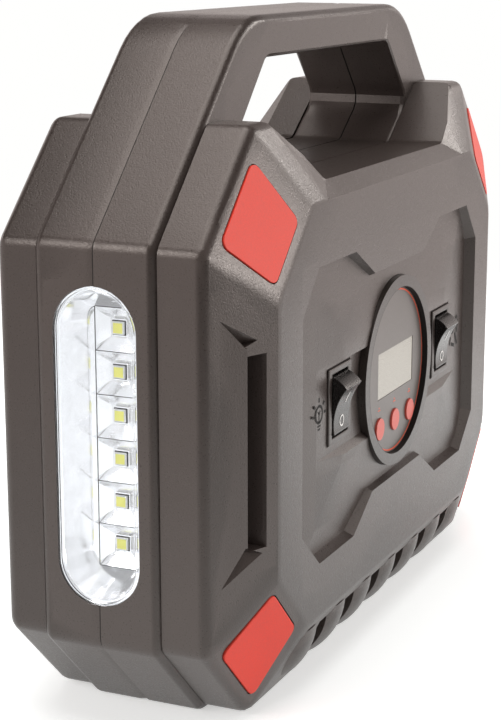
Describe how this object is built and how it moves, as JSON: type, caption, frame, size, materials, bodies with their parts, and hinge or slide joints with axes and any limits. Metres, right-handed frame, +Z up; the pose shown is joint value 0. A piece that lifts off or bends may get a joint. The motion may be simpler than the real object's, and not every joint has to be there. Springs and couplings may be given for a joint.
{
  "type": "jump starter pack",
  "caption": "Portable jump starter pack: chamfered clam-shell case with loop handle, side work lamp, round display with push buttons, rocker switches and built-in air compressor.",
  "frame": {"origin": "centre of the base, on the seam between the two band halves", "axes": "+Z up, front face towards -Y, the lamp on the -X side"},
  "size_m": [0.342, 0.1264, 0.2765],
  "materials": {
    "housing_plastic": "fine grain, warm dark grey",
    "switch_frame": "satin near-black switch frame",
    "red_insert": "satin orange-red",
    "clear_lens": "clear, polished",
    "reflector_chrome": "vacuum-plated mirror",
    "board_white": "white solder mask",
    "led_phosphor": "yellow phosphor",
    "display_ring": "satin dark grey",
    "display_grey": "mid grey printed face",
    "lcd_pale": "pale liquid-crystal panel",
    "circuit_green": "green solder mask",
    "black_parts": "black",
    "button_red": "satin orange-red",
    "switch_black": "satin black",
    "bright_metal": "zinc plated",
    "battery_case": "moulded battery case",
    "pump_metal": "die cast",
    "brass_fitting": "turned",
    "rubber_black": "matt black"
  },
  "bodies": {
    "housing": {"front_band": "housing_plastic", "rear_band": "housing_plastic", "front_cover": "housing_plastic", "rear_cover": "housing_plastic", "case_bolts": "bright_metal", "insert_upper_left": "red_insert", "insert_upper_right": "red_insert", "insert_lower_left": "red_insert", "insert_lower_right": "red_insert", "lamp_lens": "clear_lens", "lamp_reflector": "reflector_chrome", "lamp_board": "board_white", "lamp_leds": "led_phosphor", "display_bezel": "display_ring", "display_disc": "display_grey", "display_lcd": "lcd_pale", "display_board": "circuit_green", "button_switches": "black_parts", "lamp_switch_body": "switch_frame", "compressor_switch_body": "switch_frame", "switch_blades": "bright_metal", "battery_tray": "battery_case", "battery": "battery_case", "battery_strap": "bright_metal", "battery_terminals": "bright_metal", "main_board": "circuit_green", "board_parts": "black_parts", "pump_bracket": "bright_metal", "pump_body": "pump_metal", "pump_motor": "pump_metal", "pump_pipe": "black_parts", "hose_fitting": "brass_fitting", "lead_glands": "rubber_black", "port_panel": "switch_black", "outlet_socket": "bright_metal", "charge_jack": "black_parts"},
    "lamp_rocker": {"lamp_rocker": "switch_black"},
    "compressor_rocker": {"compressor_rocker": "switch_black"},
    "button_left": {"button_left": "button_red"},
    "button_middle": {"button_middle": "button_red"},
    "button_right": {"button_right": "button_red"}
  },
  "joints": [
    {"name": "lamp_switch_turn", "type": "hinge", "parent": "housing", "child": "lamp_rocker", "pos_m": [-0.0654, -0.0525, 0.1172], "axis": [-1, 0, 0], "range_deg": [0, 30]},
    {"name": "compressor_switch_turn", "type": "hinge", "parent": "housing", "child": "compressor_rocker", "pos_m": [0.0654, -0.0525, 0.1172], "axis": [-1, 0, 0], "range_deg": [0, 30]},
    {"name": "left_button_press", "type": "slide", "parent": "housing", "child": "button_left", "axis": [0, 1, 0], "range_m": [0, 0.001], "stiffness_N_per_m": 500, "springref_m": -0.0005},
    {"name": "middle_button_press", "type": "slide", "parent": "housing", "child": "button_middle", "axis": [0, 1, 0], "range_m": [0, 0.001], "stiffness_N_per_m": 500, "springref_m": -0.0005},
    {"name": "right_button_press", "type": "slide", "parent": "housing", "child": "button_right", "axis": [0, 1, 0], "range_m": [0, 0.001], "stiffness_N_per_m": 500, "springref_m": -0.0005}
  ]
}
